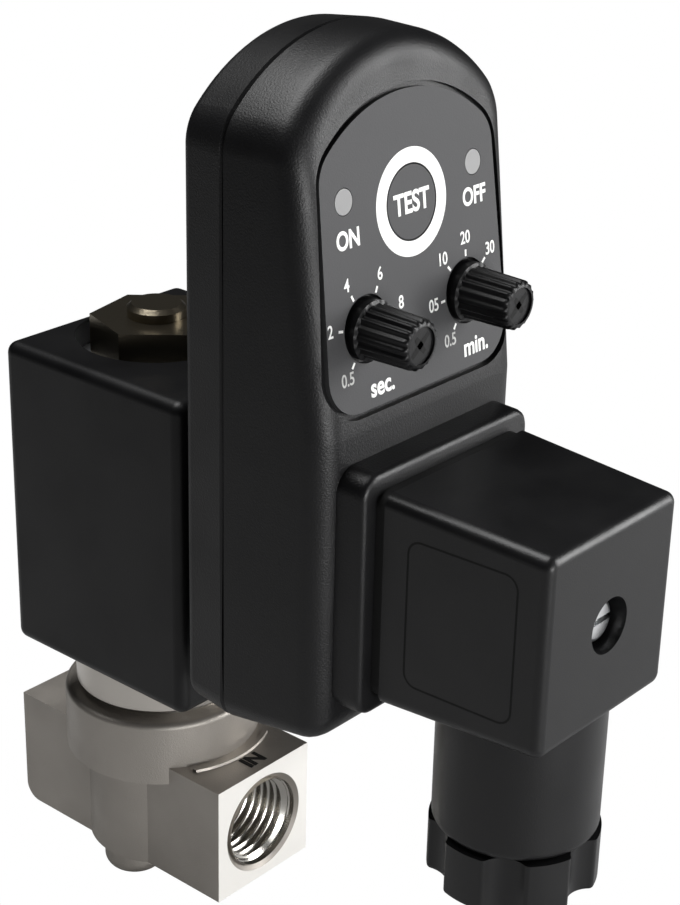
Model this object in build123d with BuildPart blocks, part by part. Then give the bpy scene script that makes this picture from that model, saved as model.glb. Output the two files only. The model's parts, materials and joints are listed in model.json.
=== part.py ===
"""Automatic drain valve: a pipe-mounted solenoid valve with a plug-on electronic timer and a cable plug.

Units are millimetres. The origin is where the inlet port's thread starts, inside its mouth's chamfer.
+Z runs up, parallel to the
solenoid's axis, and -Y is the way that the inlet, the timer's panel and the cable plug face.
"""

import os

from build123d import *

# ---------------------------------------------------------------- driving dimensions: the valve
port_reach = 20.25  # solenoid axis to either port's face
port_width = 18.4
port_height = 18.0
port_radius = 6.58  # G 1/4 major radius
port_mouth_chamfer = 0.9
port_depth = 11.0
port_edge_round = 0.6
outlet_corner_round = 2.5
head_radius = 14.0  # round head that carries the armature tube
head_top = 16.0
head_bottom = 6.4
head_edge_round = 0.8
neck_radius = 11.0  # waist between the head and the ports
chamber_radius = 7.0
chamber_floor = 7.4
seat_height = 2.4
seat_radius = 3.3
orifice_radius = 2.0
feed_radius = 1.6
mounting_boss_radius = 4.5
mounting_boss_spacing = 12.0
mounting_boss_bottom = -13.0
mounting_boss_round = 2.0
mounting_hole_radius = 1.65
mounting_hole_depth = 7.0

# the armature tube and what is inside it
flange_radius = 12.3
flange_groove_radius = 10.8
flange_groove_height = 0.9
flange_height = 7.4
flange_edge = 0.4
spigot_radius = 6.9
spigot_length = 3.0
seal_groove_radius = 9.0
seal_groove_depth = 1.6
o_ring_section = 0.75
tube_radius = 6.5
tube_bore_radius = 5.6
running_clearance = 0.05
plunger_length = 32.0
plunger_stroke = 2.2
plunger_nose_radius = 4.6
plunger_nose_length = 3.0
plunger_flute_radius = 0.9
plunger_seal_radius = 3.4
plunger_seal_thickness = 2.0
spring_bore_radius = 2.7
spring_bore_depth = 11.0
spring_radius = 2.1
spring_wire_radius = 0.25
spring_pitch = 2.0
stud_radius = 4.0
stud_length = 8.0

# ---------------------------------------------------------------- driving dimensions: the coil
coil_half_width = 16.3
coil_front_reach = 20.5  # solenoid axis to the coil's front face
coil_rear_reach = 12.6
coil_height = 44.7
coil_edge_round = 1.6
coil_recess_radius = 11.0
coil_recess_depth = 3.5
yoke_thickness = 2.0
yoke_half_width = 14.4
yoke_depth = 21.0
bobbin_wall = 1.0
bobbin_flange_thickness = 1.2
winding_radius = 11.3
terminal_pad_side = 28.0
terminal_pad_height = 2.7
terminal_pad_round = 2.0
washer_radius = 9.2
washer_thickness = 0.8
nut_width = 15.6  # across flats
nut_height = 5.4

# ---------------------------------------------------------------- driving dimensions: the timer
plug_centre_height = 52.2  # height of the plug's screw and of both terminal faces
gasket_thickness = 1.5
gasket_side = 27.4
case_half_width = 20.4
case_bottom = 30.0
case_top = 116.3
case_arch_radius = 26.0
case_shoulder_round = 7.0
case_foot_round = 4.0
back_shell_depth = 7.0
front_shell_depth = 14.6
case_draft = 6.0
case_wall = 2.2
case_front_round = 3.4
case_back_round = 1.5
seam_groove = 0.35
slope_start = 72.0  # height where the front face starts to lean back
slope_angle = 7.25
panel_bottom = 2.0  # up the sloping face from its foot
panel_half_width_low = 17.0
panel_half_width_high = 15.9
panel_shoulder = 31.4
panel_apex = 38.2
panel_corner_round = 5.2
panel_recess = 0.9
panel_thickness = 0.7
panel_clearance = 0.15
pad_side = 32.4  # raised pad under the cable plug
pad_height = 4.0
pad_round = 3.0

board_thickness = 1.6
board_gap = 1.2  # board edge to the shell's inner wall
board_standoff = 5.6  # back shell's inner wall to the board's back
knob_spacing = 18.8
knob_height = 83.7
knob_base_radius = 3.7
knob_tip_radius = 3.1
knob_base_length = 0.9  # collar that stands out of the panel
knob_length = 8.0
knob_sink = 1.3  # how deep the base sits in its hole
knob_hole_clearance = 0.35
knob_flutes = 18
knob_slot_width = 1.1
knob_slot_length = 3.6
knob_slot_depth = 0.8
spindle_radius = 1.7
trimmer_radius = 5.0
trimmer_thickness = 4.6
indicator_spacing = 23.8
indicator_height = 99.0
indicator_radius = 1.5
indicator_clearance = 0.1
button_height = 96.6
button_radius = 4.4
button_clearance = 0.15
button_thickness = 1.6
button_travel = 0.5
switch_side = 6.0
switch_thickness = 3.5
switch_actuator_radius = 1.7

# ---------------------------------------------------------------- driving dimensions: the cable plug
plug_side = 28.0
plug_depth = 22.9
plug_draft = 2.6
plug_edge_round = 1.6
plug_wall = 2.0
plug_front_wall = 5.0
screw_recess_radius = 3.6
screw_recess_depth = 3.4
screw_radius = 1.5
screw_head_radius = 2.75
screw_head_height = 1.9
screw_slot_width = 0.8
screw_slot_depth = 1.0
screw_hole_clearance = 0.2
gland_radius = 10.6
gland_length = 17.4
gland_end_round = 1.2
gland_bore_radius = 7.0
gland_bore_height = 7.0
gland_thread_radius = 8.6
gland_thread_length = 5.5
gland_throat_radius = 5.4
gland_nut_radius = 10.9
gland_nut_height = 7.5
gland_nut_gap = 0.2
gland_nut_lobes = 6
gland_scallop_radius = 3.4
gland_scallop_bite = 1.6
gland_washer_thickness = 0.8
cable_hole_radius = 4.2
blade_width = 6.3
blade_thickness = 0.8
blade_spacing = 18.0
earth_blade_rise = 8.0
blade_length = 6.5


# ---------------------------------------------------------------- driving dimensions: inside the timer and plug
sleeve_radius = 3.4
spindle_sink = 2.5
spindle_grip = 4.0
button_lip = 0.8
button_stem_radius = 1.6
button_stem_length = 2.0
switch_height = 96.0
switch_actuator_length = 0.6
relay_width = 15.0
relay_tall = 9.0
relay_depth = 8.0
relay_height = 71.5
capacitor_radius = 3.2
capacitor_length = 8.0
capacitor_side_room = 7.4  # case's side to the capacitor's centre
capacitor_height = 38.0
socket_side = 26.0
insert_side = 22.2
insert_gap = 1.5
clamp_screw_radius = 1.6
clamp_screw_length = 4.0
screw_grip = 5.5

fit_clearance = 0.1

# ---------------------------------------------------------------- levels that follow from them
inlet_mouth = -port_mouth_chamfer
outlet_mouth = inlet_mouth + 2 * port_reach
axis_y = inlet_mouth + port_reach
port_end = inlet_mouth + port_depth
tube_flange_bottom = head_top + flange_groove_height
coil_bottom = head_top + flange_height + flange_groove_height
coil_top = coil_bottom + coil_height
recess_floor = coil_top - coil_recess_depth
yoke_top = recess_floor
seat_top = chamber_floor + seat_height
plunger_top = seat_top + plunger_length
core_bottom = plunger_top + plunger_stroke
spring_bottom = plunger_top - spring_bore_depth
nut_bottom = recess_floor + washer_thickness
stud_top = recess_floor + stud_length

# distances in front of the coil axis are kept as depths in front of the origin (towards -Y)
coil_front = coil_front_reach - axis_y
pad_face = coil_front + terminal_pad_height
case_back = pad_face + gasket_thickness
seam = case_back + back_shell_depth
case_front = seam + front_shell_depth
plug_pad_face = case_front + pad_height
plug_back = plug_pad_face + gasket_thickness
plug_front = plug_back + plug_depth
gland_axis = (plug_back + plug_front) / 2
plug_bottom = plug_centre_height - plug_side / 2
gland_bottom = plug_bottom - gland_length
board_back = case_back + case_wall + board_standoff
board_front = board_back + board_thickness
capacitor_offset = case_half_width - capacitor_side_room

slope_plane = Plane(
    origin=(0, -case_front, slope_start),
    x_dir=(1, 0, 0),
    z_dir=Vector(0, -1, 0).rotate(Axis.X, -slope_angle),
)


def front_plane(depth):
    """The upright plane that faces forward, at a depth in front of the origin."""
    return Plane.XZ.offset(depth)


def level(height):
    """The level plane centred on the solenoid's axis."""
    return Plane(origin=(0, axis_y, height))


def slope_depth(height):
    """How far forward the sloping face is at a height."""
    return case_front + (slope_plane.origin.Z - height) * slope_rise


slope_rise = -slope_plane.z_dir.Z / slope_plane.z_dir.Y

parts = {}


def keep(name, part):
    """Labels a finished piece and files it under its node's name."""
    part.label = name
    parts[name] = part


# ---------------------------------------------------------------- valve body
with BuildPart() as valve_body:
    with BuildSketch(Plane.XZ.offset(-inlet_mouth)) as port_section:
        Rectangle(port_width, port_height)
    extrude(amount=-2 * port_reach)
    outlet_face = valve_body.faces().sort_by(Axis.Y)[-1]
    fillet(outlet_face.edges().sort_by(Axis.Z)[0], outlet_corner_round)
    with BuildSketch(level(head_bottom)) as head_section:
        Circle(head_radius)
    extrude(amount=head_top - head_bottom)
    fillet(valve_body.faces().sort_by(Axis.Z)[-1].edges(), head_edge_round)
    with BuildSketch(level(-port_height / 2)) as waist_section:
        Circle(neck_radius)
    extrude(amount=port_height / 2 + head_bottom)
    with BuildSketch(level(mounting_boss_bottom)) as boss_section:
        SlotCenterToCenter(mounting_boss_spacing, 2 * mounting_boss_radius)
    extrude(amount=head_bottom - mounting_boss_bottom)
    fillet(valve_body.faces().sort_by(Axis.Z)[0].edges(), mounting_boss_round)
    with BuildSketch(level(mounting_boss_bottom)) as tapped_holes:
        with GridLocations(mounting_boss_spacing, 0, 2, 1):
            Circle(mounting_hole_radius)
    extrude(amount=mounting_hole_depth, mode=Mode.SUBTRACT)
    for mouth, inward in ((inlet_mouth, -1), (outlet_mouth, 1)):
        with BuildSketch(Plane.XZ.offset(-mouth)) as port_hole:
            Circle(port_radius)
        extrude(amount=inward * port_depth, mode=Mode.SUBTRACT)
        chamfer(
            valve_body.edges()
            .filter_by(GeomType.CIRCLE)
            .filter_by(lambda e: abs(e.radius - port_radius) < 0.01)
            .sort_by(lambda e: abs(e.center().Y - mouth))[0],
            port_mouth_chamfer,
        )
    with BuildSketch(level(head_top)) as chamber_hole:
        Circle(chamber_radius)
    extrude(amount=chamber_floor - head_top, mode=Mode.SUBTRACT)
    with BuildSketch(level(head_top)) as o_ring_seat:
        Circle(seal_groove_radius)
    extrude(amount=-seal_groove_depth, mode=Mode.SUBTRACT)
    with BuildSketch(level(chamber_floor)) as seat_section:
        Circle(seat_radius)
    extrude(amount=seat_height)
    fillet(valve_body.edges().filter_by(GeomType.CIRCLE).filter_by(
        lambda e: abs(e.radius - seat_radius) < 0.01).sort_by(Axis.Z)[-1], 0.4)
    # the feed rises from the inlet into the chamber, outside the seat
    feed_y = axis_y - (seat_radius + chamber_radius) / 2
    with BuildSketch(Plane.XZ.offset(-port_end)) as feed:
        Circle(feed_radius)
    extrude(amount=port_end - feed_y - feed_radius, mode=Mode.SUBTRACT)
    with BuildSketch(Plane(origin=(0, feed_y, 0))) as feed_rise:
        Circle(feed_radius)
    extrude(amount=chamber_floor, mode=Mode.SUBTRACT)
    # the drain falls through the seat and leaves to the outlet
    with BuildSketch(level(0)) as drain_fall:
        Circle(orifice_radius)
    extrude(amount=seat_top, mode=Mode.SUBTRACT)
    with BuildSketch(Plane.XZ.offset(-axis_y + orifice_radius)) as drain:
        Circle(orifice_radius)
    extrude(amount=-(port_reach - port_depth + orifice_radius), mode=Mode.SUBTRACT)
keep("valve_body", valve_body.part)

# ---------------------------------------------------------------- armature tube and what it holds
with BuildPart() as armature_tube:
    with BuildSketch(level(tube_flange_bottom)) as flange_section:
        Circle(flange_radius)
    extrude(amount=flange_height)
    chamfer(armature_tube.edges().filter_by(GeomType.CIRCLE), flange_edge)
    with BuildSketch(level(head_top)) as groove_section:
        Circle(flange_groove_radius)
    extrude(amount=flange_groove_height)
    with BuildSketch(level(head_top - spigot_length)) as spigot_section:
        Circle(spigot_radius)
    extrude(amount=spigot_length)
    with BuildSketch(level(coil_bottom)) as tube_section:
        Circle(tube_radius)
    extrude(amount=recess_floor - coil_bottom)
    with BuildSketch(level(head_top - spigot_length)) as tube_bore:
        Circle(tube_bore_radius)
    extrude(amount=recess_floor - head_top + spigot_length, mode=Mode.SUBTRACT)
keep("armature_tube", armature_tube.part)

with BuildPart() as tube_o_ring:
    with BuildSketch(Plane.YZ) as o_ring_section_sketch:
        with Locations((axis_y + (spigot_radius + seal_groove_radius) / 2, head_top - seal_groove_depth / 2)):
            Circle(o_ring_section)
    revolve(axis=Axis((0, axis_y, 0), (0, 0, 1)))
keep("tube_o_ring", tube_o_ring.part)

with BuildPart() as fixed_core:
    with BuildSketch(level(core_bottom)) as core_section:
        Circle(tube_bore_radius)
    extrude(amount=recess_floor - core_bottom)
    with BuildSketch(level(recess_floor)) as stud_section:
        Circle(stud_radius)
    extrude(amount=stud_length)
    chamfer(fixed_core.faces().sort_by(Axis.Z)[-1].edges(), 0.6)
keep("fixed_core", fixed_core.part)

with BuildPart() as plunger:
    with BuildSketch(level(seat_top + plunger_nose_length)) as plunger_section:
        Circle(tube_bore_radius - running_clearance)
        with PolarLocations(tube_bore_radius, 4):
            Circle(plunger_flute_radius, mode=Mode.SUBTRACT)
    extrude(amount=plunger_length - plunger_nose_length)
    with BuildSketch(level(seat_top + plunger_seal_thickness / 4)) as nose_section:
        Circle(plunger_nose_radius)
    extrude(amount=plunger_nose_length - plunger_seal_thickness / 4)
    with BuildSketch(level(seat_top)) as seal_pocket:
        Circle(plunger_seal_radius)
    extrude(amount=plunger_seal_thickness, mode=Mode.SUBTRACT)
    with BuildSketch(level(plunger_top)) as spring_bore:
        Circle(spring_bore_radius)
    extrude(amount=-spring_bore_depth, mode=Mode.SUBTRACT)
keep("plunger", plunger.part)

with BuildPart() as plunger_seal:
    with BuildSketch(level(seat_top)) as seal_section:
        Circle(plunger_seal_radius)
    extrude(amount=plunger_seal_thickness)
keep("plunger_seal", plunger_seal.part)

spring_free_height = core_bottom - spring_bottom - 2 * spring_wire_radius
with BuildPart() as return_spring:
    with BuildLine() as spring_line:
        Helix(
            pitch=spring_pitch,
            height=spring_free_height,
            radius=spring_radius,
            center=(0, axis_y, spring_bottom + spring_wire_radius),
        )
    with BuildSketch(Plane(origin=spring_line.line @ 0, z_dir=spring_line.line % 0)) as wire_section:
        Circle(spring_wire_radius)
    sweep(path=spring_line.line, is_frenet=True)
keep("return_spring", return_spring.part)

# ---------------------------------------------------------------- coil
with BuildPart() as coil_housing:
    with BuildSketch(level(coil_bottom)) as coil_section:
        with Locations((0, (coil_rear_reach - coil_front_reach) / 2)):
            Rectangle(2 * coil_half_width, coil_front_reach + coil_rear_reach)
    extrude(amount=coil_height)
    fillet(coil_housing.edges(), coil_edge_round)
    with BuildSketch(front_plane(coil_front)) as pad_section:
        with Locations((0, plug_centre_height)):
            RectangleRounded(terminal_pad_side, terminal_pad_side, terminal_pad_round)
    extrude(amount=terminal_pad_height)
    with BuildSketch(level(coil_top)) as top_recess:
        Circle(coil_recess_radius)
    extrude(amount=-coil_recess_depth, mode=Mode.SUBTRACT)
    with BuildSketch(level(coil_bottom)) as coil_bore:
        Circle(tube_radius + running_clearance)
    extrude(amount=coil_height, mode=Mode.SUBTRACT)
    # pocket of the yoke, with its plates' thickness, and of the winding inside it
    with BuildSketch(level(coil_bottom + yoke_thickness)) as yoke_pocket:
        Rectangle(2 * yoke_half_width, yoke_depth)
    extrude(amount=yoke_top - coil_bottom - yoke_thickness, mode=Mode.SUBTRACT)
    with BuildSketch(level(coil_bottom + 2 * yoke_thickness)) as winding_pocket:
        Circle(winding_radius + bobbin_wall / 2)
    extrude(amount=yoke_top - coil_bottom - 3 * yoke_thickness, mode=Mode.SUBTRACT)
    with BuildSketch(front_plane(pad_face)) as screw_insert:
        with Locations((0, plug_centre_height)):
            Circle(screw_radius + screw_hole_clearance)
    extrude(amount=-6, mode=Mode.SUBTRACT)
    blade_points = [
        (-blade_spacing / 2, plug_centre_height),
        (blade_spacing / 2, plug_centre_height),
        (0, plug_centre_height + earth_blade_rise),
    ]
    with BuildSketch(front_plane(pad_face)) as blade_roots:
        for point in blade_points:
            with Locations(point):
                Rectangle(blade_thickness, blade_width)
    extrude(amount=-terminal_pad_height, mode=Mode.SUBTRACT)
keep("coil_housing", coil_housing.part)

with BuildPart() as yoke_frame:
    with BuildSketch(level(coil_bottom + yoke_thickness)) as yoke_section:
        Rectangle(2 * yoke_half_width, yoke_depth)
    extrude(amount=yoke_top - coil_bottom - yoke_thickness)
    with BuildSketch(level(coil_bottom + 2 * yoke_thickness)) as yoke_window:
        Rectangle(2 * (yoke_half_width - yoke_thickness), yoke_depth)
    extrude(amount=yoke_top - coil_bottom - 3 * yoke_thickness, mode=Mode.SUBTRACT)
    with BuildSketch(level(coil_bottom)) as yoke_bore:
        Circle(tube_radius + running_clearance)
    extrude(amount=coil_height, mode=Mode.SUBTRACT)
keep("yoke_frame", yoke_frame.part)

window_bottom = coil_bottom + 2 * yoke_thickness
window_height = yoke_top - yoke_thickness - window_bottom
bobbin_bore = tube_radius + running_clearance
with BuildPart() as bobbin:
    with BuildSketch(level(window_bottom)) as bobbin_tube:
        Circle(bobbin_bore + bobbin_wall)
        Circle(bobbin_bore, mode=Mode.SUBTRACT)
    extrude(amount=window_height)
    for flange_level in (window_bottom, window_bottom + window_height - bobbin_flange_thickness):
        with BuildSketch(level(flange_level)) as bobbin_flange:
            Circle(winding_radius)
            Circle(bobbin_bore, mode=Mode.SUBTRACT)
        extrude(amount=bobbin_flange_thickness)
keep("bobbin", bobbin.part)

with BuildPart() as winding:
    with BuildSketch(level(window_bottom + bobbin_flange_thickness)) as winding_section:
        Circle(winding_radius)
        Circle(bobbin_bore + bobbin_wall, mode=Mode.SUBTRACT)
    extrude(amount=window_height - 2 * bobbin_flange_thickness)
keep("winding", winding.part)

with BuildPart() as lock_washer:
    with BuildSketch(level(recess_floor)) as washer_section:
        Circle(washer_radius)
        Circle(stud_radius + fit_clearance, mode=Mode.SUBTRACT)
        with Locations((-washer_radius, 0)):
            Rectangle(1.6, 3.0, mode=Mode.SUBTRACT)
    extrude(amount=washer_thickness)
keep("lock_washer", lock_washer.part)

with BuildPart() as coil_nut:
    with BuildSketch(level(nut_bottom)) as nut_section:
        RegularPolygon(nut_width / 2, 6, major_radius=False, rotation=12)
    extrude(amount=nut_height)
    with BuildSketch(Plane.YZ) as nut_chamfer:
        with Locations((axis_y, nut_bottom)):
            with BuildLine():
                Polyline(
                    (nut_width / 2 - 0.1, nut_height),
                    (nut_width / 2 * 1.3, nut_height),
                    (nut_width / 2 * 1.3, nut_height - 1.6),
                    (nut_width / 2 - 0.1, nut_height),
                )
            make_face()
    revolve(axis=Axis((0, axis_y, 0), (0, 0, 1)), mode=Mode.SUBTRACT)
    with BuildSketch(level(nut_bottom)) as nut_bore:
        Circle(stud_radius)
    extrude(amount=nut_height, mode=Mode.SUBTRACT)
keep("coil_nut", coil_nut.part)


def blades(depth, length):
    """Three flat contact blades that stand out of a terminal face, two live and one earth."""
    with BuildPart() as group:
        with BuildSketch(front_plane(depth)):
            for point in blade_points:
                with Locations(point):
                    Rectangle(blade_thickness, blade_width)
        extrude(amount=length)
    return group.part


keep("coil_blades", blades(coil_front, terminal_pad_height + blade_length))


def gasket(depth):
    """Flat square gasket of a terminal face, open for the blades and the long screw."""
    with BuildPart() as sheet:
        with BuildSketch(front_plane(depth)):
            with Locations((0, plug_centre_height)):
                RectangleRounded(gasket_side, gasket_side, terminal_pad_round)
                Circle(screw_radius + screw_hole_clearance, mode=Mode.SUBTRACT)
            for point in blade_points:
                with Locations(point):
                    Rectangle(
                        blade_thickness + 2 * fit_clearance,
                        blade_width + 2 * fit_clearance,
                        mode=Mode.SUBTRACT,
                    )
        extrude(amount=gasket_thickness)
    return sheet.part


keep("coil_gasket", gasket(pad_face))
keep("plug_gasket", gasket(plug_pad_face))

# ---------------------------------------------------------------- timer case
def case_profile(plane, inset):
    """Outline of the timer case: straight sides, a round foot and an arched top."""
    half = case_half_width - inset
    apex = case_top - inset
    radius = case_arch_radius - inset
    side_top = apex - radius + (radius**2 - half**2) ** 0.5
    with BuildSketch(plane) as profile:
        with BuildLine():
            Line((-half, case_bottom + inset), (half, case_bottom + inset))
            Line((half, case_bottom + inset), (half, side_top))
            ThreePointArc((half, side_top), (0, apex), (-half, side_top))
            Line((-half, side_top), (-half, case_bottom + inset))
        make_face()
        fillet(profile.vertices().group_by(Axis.Y)[0], case_foot_round - inset)
        fillet(profile.vertices().group_by(Axis.Y)[-1], case_shoulder_round - inset)
    return profile.sketch


def slope_cut(wall):
    """The wedge in front of the sloping upper face, or of the wall behind it."""
    plane = slope_plane.offset(-wall)
    with BuildPart() as wedge:
        with BuildSketch(plane):
            Rectangle(4 * case_half_width, 3 * case_top)
        extrude(amount=case_top)
    return wedge.part


case_outline = case_profile(front_plane(seam), 0)
case_hollow_outline = case_profile(front_plane(seam), case_wall)
outer_wedge = slope_cut(0)
inner_wedge = slope_cut(case_wall)
flush_wedge = slope_cut(panel_recess - panel_thickness)

screw_tunnel_radius = screw_radius + screw_hole_clearance
case_inner_back = case_back + case_wall
case_inner_front = case_front - case_wall

with BuildPart() as back_shell:
    extrude(case_outline, amount=-back_shell_depth, taper=case_draft)
    fillet(back_shell.faces().sort_by(Axis.Y)[-1].edges(), case_back_round)
    chamfer(back_shell.faces().sort_by(Axis.Y)[0].edges(), seam_groove)
    extrude(case_hollow_outline, amount=case_wall - back_shell_depth, mode=Mode.SUBTRACT)
    # sleeve that carries the long screw from the back wall to the front wall
    with BuildSketch(front_plane(case_back + case_wall / 2)) as sleeve_section:
        with Locations((0, plug_centre_height)):
            Circle(sleeve_radius)
    extrude(amount=case_inner_front - case_back - case_wall / 2)
    with BuildSketch(front_plane(case_back)) as sleeve_bore:
        with Locations((0, plug_centre_height)):
            Circle(screw_tunnel_radius)
    extrude(amount=front_shell_depth + back_shell_depth, mode=Mode.SUBTRACT)
    with BuildSketch(front_plane(case_back)) as rear_blade_slots:
        for point in blade_points:
            with Locations(point):
                Rectangle(blade_thickness + 2 * fit_clearance, blade_width + 2 * fit_clearance)
    extrude(amount=case_wall, mode=Mode.SUBTRACT)
keep("back_shell", back_shell.part)


def panel_outline(plane, inset):
    """Outline of the marked panel on the sloping face."""
    low = panel_half_width_low - inset
    high = panel_half_width_high - inset
    with BuildSketch(plane) as outline:
        with BuildLine():
            Line((-low, panel_bottom + inset), (low, panel_bottom + inset))
            Line((low, panel_bottom + inset), (high, panel_shoulder))
            ThreePointArc((high, panel_shoulder), (0, panel_apex - inset), (-high, panel_shoulder))
            Line((-high, panel_shoulder), (-low, panel_bottom + inset))
        make_face()
        fillet(outline.vertices(), panel_corner_round - inset)
    return outline.sketch


def control_holes(plane, through, extra):
    """Cylinders through the sloping face for both knobs, both indicators and the button."""
    with BuildPart() as cutters:
        with BuildSketch(front_plane(case_inner_front - front_shell_depth / 2)):
            with Locations((0, knob_height)):
                with GridLocations(knob_spacing, 0, 2, 1):
                    Circle(knob_base_radius + knob_hole_clearance)
            with Locations((0, indicator_height)):
                with GridLocations(indicator_spacing, 0, 2, 1):
                    Circle(indicator_radius + extra)
        extrude(amount=front_shell_depth)
        with BuildSketch(plane):
            with Locations((0, button_up_slope)):
                Circle(button_radius + button_clearance)
        extrude(amount=-through)
    return cutters.part


cos_slope = slope_plane.y_dir.Z
button_up_slope = (button_height - slope_start) / cos_slope

# The front is meant as the common part of an upright and a sloping block. The solid keeps the upright face.
with BuildPart() as upright_block:
    extrude(case_outline, amount=front_shell_depth, taper=case_draft)
    fillet(upright_block.faces().sort_by(Axis.Y)[0].edges(), case_front_round)

with BuildPart() as sloping_block:
    extrude(case_outline, amount=1.5 * front_shell_depth, taper=case_draft)
    add(outer_wedge, mode=Mode.SUBTRACT)
    sloping_face = sloping_block.faces().sort_by(lambda f: -f.normal_at().dot(slope_plane.z_dir))[0]
    fillet(sloping_face.edges(), case_front_round)

with BuildPart() as hollow:
    extrude(case_hollow_outline, amount=front_shell_depth - case_wall, taper=case_draft)
    add(inner_wedge, mode=Mode.SUBTRACT)

panel_pocket_outline = panel_outline(slope_plane, 0)
control_cutters = control_holes(slope_plane, 2 * case_wall, indicator_clearance)

with BuildPart() as front_shell:
    add(upright_block.part)
    add(sloping_block.part, mode=Mode.INTERSECT)
    chamfer(front_shell.faces().sort_by(Axis.Y)[-1].edges(), seam_groove)
    with BuildSketch(front_plane(case_front)) as pad_outline:
        with Locations((0, plug_centre_height)):
            RectangleRounded(pad_side, pad_side, pad_round)
    extrude(amount=pad_height)
    add(hollow.part, mode=Mode.SUBTRACT)
    extrude(panel_pocket_outline, amount=-panel_recess, mode=Mode.SUBTRACT)
    add(control_cutters, mode=Mode.SUBTRACT)
    with BuildSketch(front_plane(plug_pad_face)) as front_slots:
        for point in blade_points:
            with Locations(point):
                Rectangle(blade_thickness + 2 * fit_clearance, blade_width + 2 * fit_clearance)
        with Locations((0, plug_centre_height)):
            Circle(screw_tunnel_radius)
    extrude(amount=-pad_height - case_wall, mode=Mode.SUBTRACT)
keep("front_shell", front_shell.part)

panel_sheet_outline = panel_outline(slope_plane.offset(-panel_recess), panel_clearance)

with BuildPart() as label_panel:
    extrude(panel_sheet_outline, amount=panel_thickness)
    add(control_cutters, mode=Mode.SUBTRACT)
keep("label_panel", label_panel.part)

# ---------------------------------------------------------------- controls
for side, side_name in ((-1, "off_time"), (1, "on_time")):
    knob_axis_x = side * knob_spacing / 2
    knob_face = slope_depth(knob_height)
    knob_back = knob_face - knob_sink
    knob_tip = knob_face + knob_length
    trimmer_front = board_front + trimmer_thickness
    with BuildPart() as knob:
        with BuildSketch(front_plane(knob_back)) as knob_base:
            with Locations((knob_axis_x, knob_height)):
                Circle(knob_base_radius)
        extrude(amount=knob_sink + knob_base_length)
        with BuildSketch(front_plane(knob_back)) as knob_body:
            with Locations((knob_axis_x, knob_height)):
                Circle(knob_tip_radius)
        extrude(amount=knob_sink + knob_length)
        chamfer(knob.faces().sort_by(Axis.Y)[0].edges(), 0.4)
        with BuildSketch(front_plane(knob_tip)) as knob_slot:
            with Locations((knob_axis_x, knob_height)):
                Rectangle(knob_slot_length, knob_slot_width)
        extrude(amount=-knob_slot_depth, mode=Mode.SUBTRACT)
        with BuildSketch(front_plane(knob_back)) as spindle_socket:
            with Locations((knob_axis_x, knob_height)):
                Circle(spindle_radius)
        extrude(amount=spindle_grip, mode=Mode.SUBTRACT)
    keep(f"{side_name}_knob", knob.part)

    with BuildPart() as spindle:
        with BuildSketch(front_plane(trimmer_front - spindle_sink)) as spindle_section:
            with Locations((knob_axis_x, knob_height)):
                Circle(spindle_radius)
        extrude(amount=knob_back + spindle_grip - trimmer_front + spindle_sink)
    keep(f"{side_name}_spindle", spindle.part)

    with BuildPart() as trimmer:
        with BuildSketch(front_plane(board_front)) as trimmer_section:
            with Locations((knob_axis_x, knob_height)):
                Circle(trimmer_radius)
        extrude(amount=trimmer_thickness)
        with BuildSketch(front_plane(trimmer_front)) as trimmer_bore:
            with Locations((knob_axis_x, knob_height)):
                Circle(spindle_radius + running_clearance)
        extrude(amount=-spindle_sink - fit_clearance, mode=Mode.SUBTRACT)
    keep(f"{side_name}_trimmer", trimmer.part)

for side, side_name in ((-1, "on_indicator"), (1, "off_indicator")):
    with BuildPart() as light_guide:
        with BuildSketch(front_plane(board_front)) as light_section:
            with Locations((side * indicator_spacing / 2, indicator_height)):
                Circle(indicator_radius)
        extrude(amount=front_shell_depth)
        add(flush_wedge, mode=Mode.SUBTRACT)
    keep(side_name, light_guide.part)

with BuildPart() as test_button:
    with BuildSketch(slope_plane.offset(panel_thickness - panel_recess)) as button_cap:
        with Locations((0, button_up_slope)):
            Circle(button_radius)
    extrude(amount=panel_recess - panel_thickness - case_wall - button_lip)
    with BuildSketch(slope_plane.offset(-case_wall)) as button_lip_section:
        with Locations((0, button_up_slope)):
            Circle(button_radius + button_lip)
    extrude(amount=-button_lip)
    with BuildSketch(slope_plane.offset(-case_wall)) as button_stem:
        with Locations((0, button_up_slope)):
            Circle(button_stem_radius)
    extrude(amount=-button_stem_length)
keep("test_button", test_button.part)

# ---------------------------------------------------------------- circuit board
board_outline = case_profile(front_plane(board_back), case_wall + board_gap)

with BuildPart() as circuit_board:
    extrude(board_outline, amount=board_thickness)
    with BuildSketch(front_plane(board_back)) as board_hole:
        with Locations((0, plug_centre_height)):
            Circle(sleeve_radius + fit_clearance)
    extrude(amount=board_thickness, mode=Mode.SUBTRACT)
keep("circuit_board", circuit_board.part)

with BuildPart() as push_switch:
    with BuildSketch(front_plane(board_front)) as switch_case:
        with Locations((0, switch_height)):
            Rectangle(switch_side, switch_side)
    extrude(amount=switch_thickness)
    with BuildSketch(front_plane(board_front + switch_thickness)) as switch_actuator:
        with Locations((0, switch_height)):
            Circle(switch_actuator_radius)
    extrude(amount=switch_actuator_length)
keep("push_switch", push_switch.part)

with BuildPart() as relay:
    with BuildSketch(front_plane(board_front)) as relay_section:
        with Locations((0, relay_height)):
            RectangleRounded(relay_width, relay_tall, 0.8)
    extrude(amount=relay_depth)
keep("relay", relay.part)

with BuildPart() as capacitor:
    with BuildSketch(front_plane(board_front)) as capacitor_section:
        with Locations((capacitor_offset, capacitor_height)):
            Circle(capacitor_radius)
    extrude(amount=capacitor_length)
    fillet(capacitor.faces().sort_by(Axis.Y)[0].edges(), 0.5)
keep("capacitor", capacitor.part)

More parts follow.
